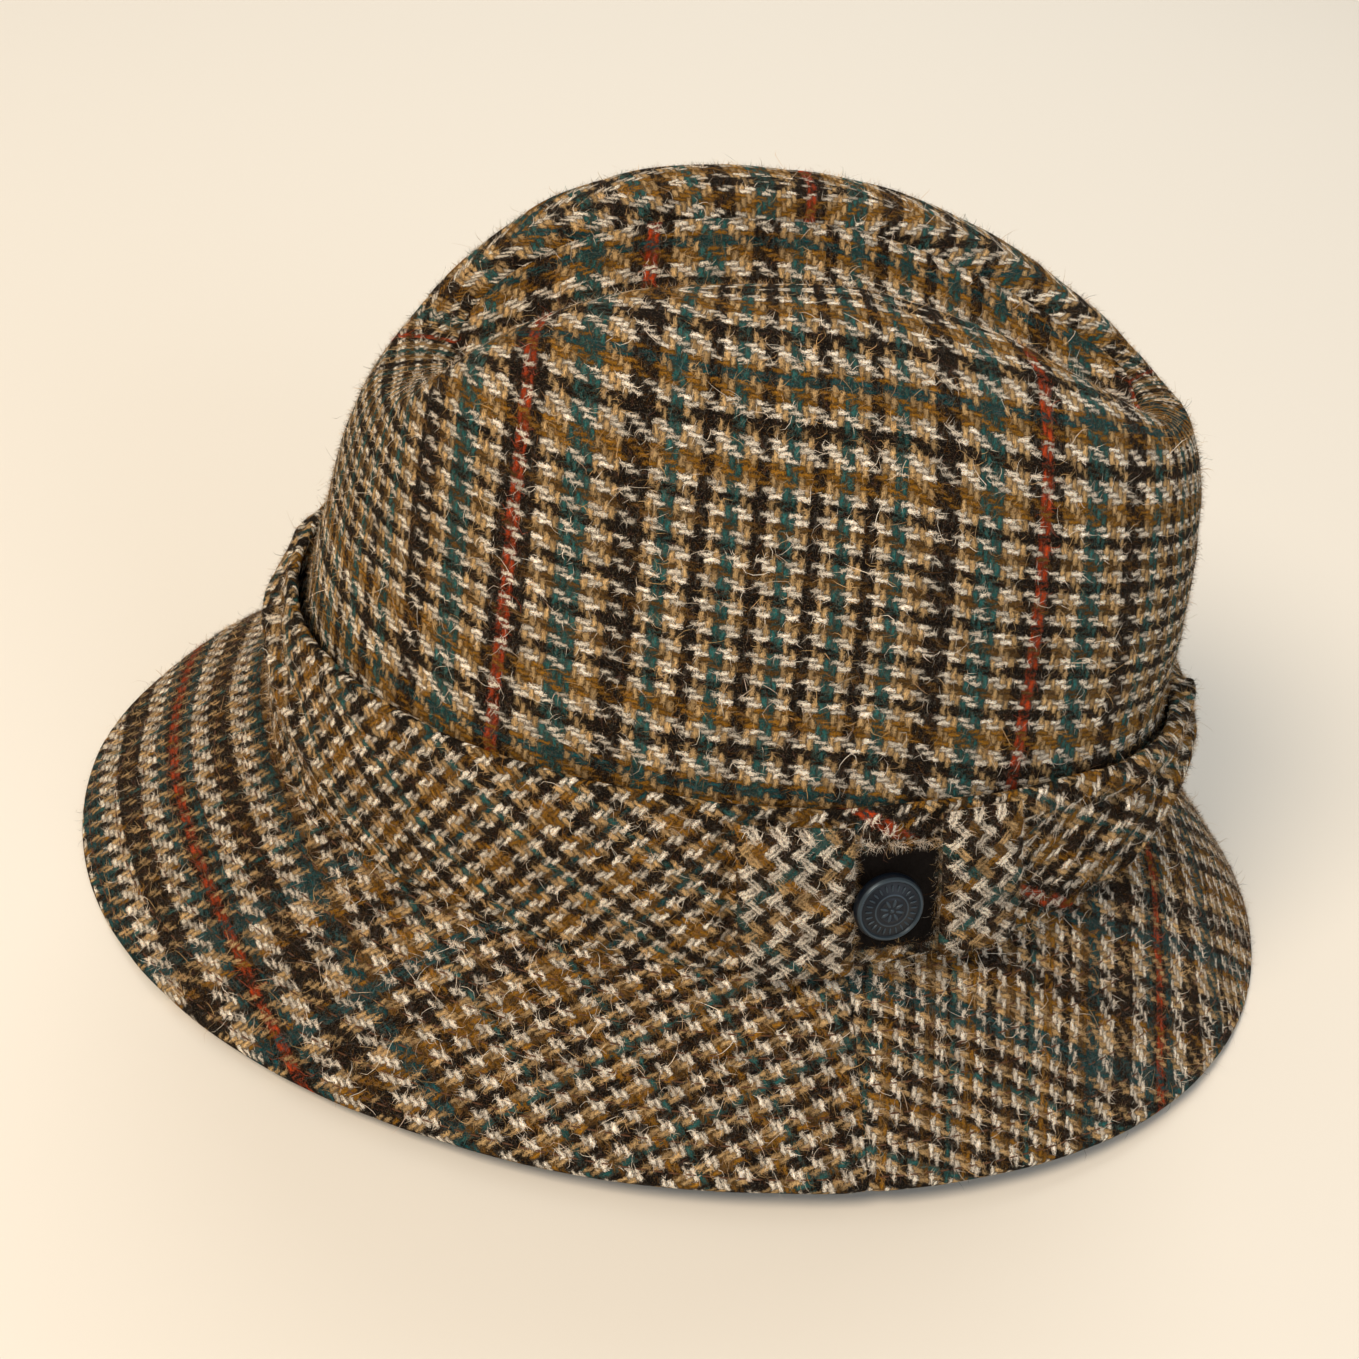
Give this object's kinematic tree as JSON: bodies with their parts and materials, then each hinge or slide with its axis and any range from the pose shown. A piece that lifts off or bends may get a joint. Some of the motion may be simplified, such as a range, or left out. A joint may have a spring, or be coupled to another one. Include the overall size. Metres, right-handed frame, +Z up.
{
  "type": "tweed trilby hat",
  "caption": "Tweed trilby with a dented crown, a turned-down brim, a bias-cut band and a flat side bow that frames a domed metal button.",
  "frame": {"origin": "under the middle of the brim, on the plane that the brim rests on", "axes": "+Z up, the front of the hat looks along -Y, the wearer's left and the bow are at +X"},
  "size_m": [0.2336, 0.2924, 0.1646],
  "materials": {
    "tweed": "coarse wool check in cream, near-black brown, ochre, teal and rust, with loose fibres",
    "dark_cloth": "matt near-black cloth",
    "button_metal": "dark gunmetal lacquer, worn lighter at the rim"
  },
  "bodies": {
    "root": {"crown_side": "tweed", "crown_tip": "tweed", "band": "tweed", "brim_front": "tweed", "brim_back": "tweed", "bow_loop_front": "tweed", "bow_loop_rear": "tweed", "bow_patch": "dark_cloth", "button": "button_metal"}
  },
  "joints": []
}
